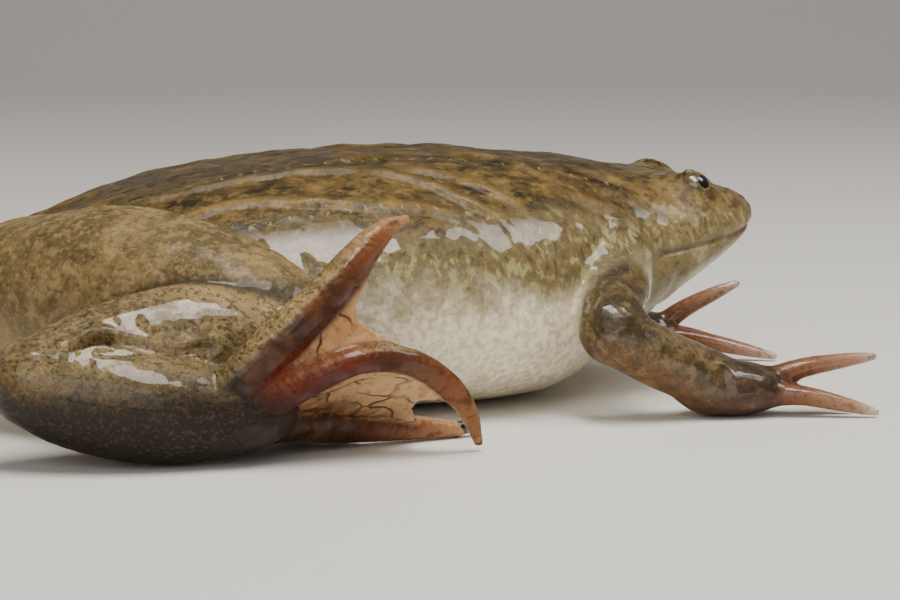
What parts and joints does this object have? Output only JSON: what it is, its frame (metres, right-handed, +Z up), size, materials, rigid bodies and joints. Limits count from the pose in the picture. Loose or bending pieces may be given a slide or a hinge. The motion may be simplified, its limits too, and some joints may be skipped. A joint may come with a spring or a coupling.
{
  "type": "african clawed frog model",
  "caption": "Life-size still model of a plump clawed frog resting on its belly, hind legs folded at its sides, one webbed hind foot raised on edge.",
  "frame": {"origin": "on the floor, at the middle of the flat under the belly", "axes": "+Z up, +X towards the snout, +Y towards the frog's left side"},
  "size_m": [0.1179, 0.1098, 0.0303],
  "materials": {
    "skin": "wet mottled olive-brown skin, cream below, red-brown feet with veined webs and pale fingertips",
    "eye": "glossy, black pupil in a golden-grey iris",
    "claw": "dark horn, satin"
  },
  "bodies": {
    "root": {"claw_left_1": "claw", "claw_left_2": "claw", "claw_left_3": "claw", "claw_right_1": "claw", "claw_right_2": "claw", "claw_right_3": "claw", "eye_left": "eye", "eye_right": "eye", "finger_left_1": "skin", "finger_left_2": "skin", "finger_left_3": "skin", "finger_left_4": "skin", "finger_right_1": "skin", "finger_right_2": "skin", "finger_right_3": "skin", "finger_right_4": "skin", "foot_left": "skin", "foot_right": "skin", "forearm_left": "skin", "forearm_right": "skin", "hand_left": "skin", "hand_right": "skin", "head": "skin", "outer_toe_left": "skin", "outer_toe_right": "skin", "shank_left": "skin", "shank_right": "skin", "tarsus_left": "skin", "tarsus_right": "skin", "thigh_left": "skin", "thigh_right": "skin", "torso": "skin", "upper_arm_left": "skin", "upper_arm_right": "skin", "vent": "skin"}
  },
  "joints": []
}
